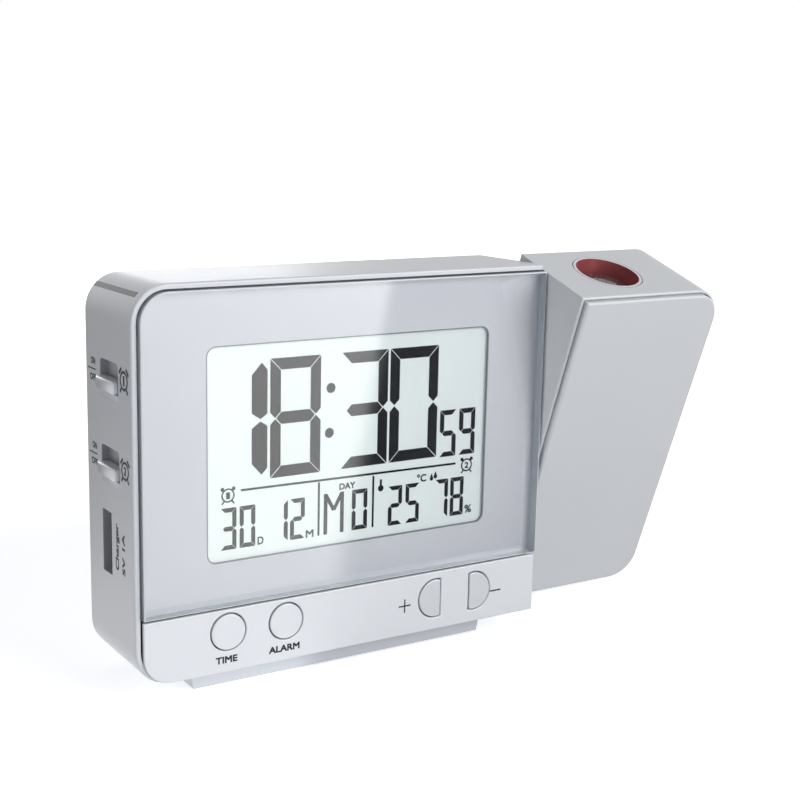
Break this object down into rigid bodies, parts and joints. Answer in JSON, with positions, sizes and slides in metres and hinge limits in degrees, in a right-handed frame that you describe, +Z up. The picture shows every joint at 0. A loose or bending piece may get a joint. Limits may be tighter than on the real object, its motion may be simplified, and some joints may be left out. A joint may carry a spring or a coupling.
{
  "type": "projection alarm clock",
  "caption": "Flat desk alarm clock with a large digital display and a tall swivelling projector arm at its right side.",
  "frame": {"origin": "centre of the rubber sole under the foot, on the table", "axes": "+Z up, front with the display faces -Y, +X to the right where the projector arm is"},
  "size_m": [0.1517, 0.0526, 0.0926],
  "materials": {
    "case_plastic": "fine satin grey moulding",
    "cover_plastic": "matt grey moulding",
    "arm_plastic": "fine satin grey moulding",
    "front_plastic": "fine satin silver-grey moulding",
    "button_plastic": "fine satin silver-grey moulding",
    "window_clear": "clear polished plastic",
    "film_print": "silver print behind the window",
    "lcd_glass": "pale display glass",
    "white_plastic": "white moulding",
    "light_guide": "clear light guide",
    "led_yellow": "lamp resin",
    "contact_rubber": "striped contact rubber",
    "circuit_board": "green lacquered board",
    "black_plastic": "black moulding",
    "bright_metal": "plated steel",
    "brass_plate": "thin spring brass",
    "dark_screw": "blackened steel",
    "sole_rubber": "matt black rubber",
    "foot_plastic": "dark grey moulding",
    "cell_wrap": "plain wrapped cell",
    "bearing_plastic": "slippery natural white moulding",
    "lead_cover": "black insulation",
    "red_lamp": "red lamp resin",
    "lens_clear": "polished lens",
    "ring_plastic": "satin grey ring"
  },
  "bodies": {
    "case": {"case_shell": "case_plastic", "rear_cover": "cover_plastic", "display_window": "window_clear", "display_film": "film_print", "button_strip": "front_plastic", "lcd_panel": "lcd_glass", "lcd_frame": "white_plastic", "contact_strips": "contact_rubber", "light_guide": "light_guide", "backlight_leds": "led_yellow", "main_board": "circuit_board", "key_switches": "black_plastic", "controller_chip": "black_plastic", "buzzer": "black_plastic", "climate_sensor": "white_plastic", "side_board": "circuit_board", "slide_switches": "bright_metal", "charge_socket": "bright_metal", "socket_tongue": "black_plastic", "power_inlet": "bright_metal", "rear_cover_screws": "dark_screw", "board_screws": "bright_metal", "foot_screws": "bright_metal", "base_foot": "foot_plastic", "foot_sole": "sole_rubber", "battery_cells": "cell_wrap", "battery_springs": "bright_metal", "battery_contacts": "brass_plate", "snooze_touch_plate": "brass_plate", "pivot_bush": "bearing_plastic", "projector_lead": "lead_cover", "lead_plug": "white_plastic"},
    "time_button": {"time_button": "button_plastic"},
    "alarm_button": {"alarm_button": "button_plastic"},
    "plus_button": {"plus_button": "button_plastic"},
    "minus_button": {"minus_button": "button_plastic"},
    "projection_button": {"projection_button": "cover_plastic"},
    "alarm_one_slider": {"alarm_one_knob": "case_plastic", "alarm_one_lever": "black_plastic"},
    "alarm_two_slider": {"alarm_two_knob": "case_plastic", "alarm_two_lever": "black_plastic"},
    "battery_door": {"battery_door": "cover_plastic"},
    "projector_arm": {"arm_shell": "arm_plastic", "arm_cover": "arm_plastic", "pivot_shaft": "bright_metal", "shaft_screws": "dark_screw", "friction_washer": "bearing_plastic", "shaft_retainer": "bright_metal", "arm_board": "circuit_board", "arm_terminal": "white_plastic", "projector_led": "red_lamp", "projector_barrel": "black_plastic", "condenser_lens": "lens_clear", "picture_panel": "lcd_glass", "panel_holder": "black_plastic", "arm_screws": "dark_screw"},
    "focus_ring": {"focus_ring": "ring_plastic", "projection_lens": "lens_clear"}
  },
  "joints": [
    {"name": "time_press", "type": "slide", "parent": "case", "child": "time_button", "axis": [0, 1, 0], "range_m": [0, 0.0005], "stiffness_N_per_m": 1500, "springref_m": -0.0003},
    {"name": "alarm_press", "type": "slide", "parent": "case", "child": "alarm_button", "axis": [0, 1, 0], "range_m": [0, 0.0005], "stiffness_N_per_m": 1500, "springref_m": -0.0003},
    {"name": "plus_press", "type": "slide", "parent": "case", "child": "plus_button", "axis": [0, 1, 0], "range_m": [0, 0.0005], "stiffness_N_per_m": 1500, "springref_m": -0.0003},
    {"name": "minus_press", "type": "slide", "parent": "case", "child": "minus_button", "axis": [0, 1, 0], "range_m": [0, 0.0005], "stiffness_N_per_m": 1500, "springref_m": -0.0003},
    {"name": "projection_press", "type": "slide", "parent": "case", "child": "projection_button", "axis": [0, -1, 0], "range_m": [0, 0.0005], "stiffness_N_per_m": 1500, "springref_m": -0.0003},
    {"name": "alarm_one_slide", "type": "slide", "parent": "case", "child": "alarm_one_slider", "axis": [0, 0, 1], "range_m": [0, 0.0036]},
    {"name": "alarm_two_slide", "type": "slide", "parent": "case", "child": "alarm_two_slider", "axis": [0, 0, 1], "range_m": [0, 0.0036]},
    {"name": "battery_door_tip", "type": "hinge", "parent": "case", "child": "battery_door", "pos_m": [-0.004, 0.0125, 0.0148], "axis": [-1, 0, 0], "range_deg": [0, 60]},
    {"name": "arm_swing", "type": "hinge", "parent": "case", "child": "projector_arm", "pos_m": [0.0515, -0.0012, 0.048], "axis": [1, 0, 0], "range_deg": [-109, 71]},
    {"name": "focus_turn", "type": "hinge", "parent": "projector_arm", "child": "focus_ring", "pos_m": [0.0695, -0.0012, 0.048], "axis": [0, -0.3256, 0.9455], "range_deg": [-135, 135]}
  ]
}
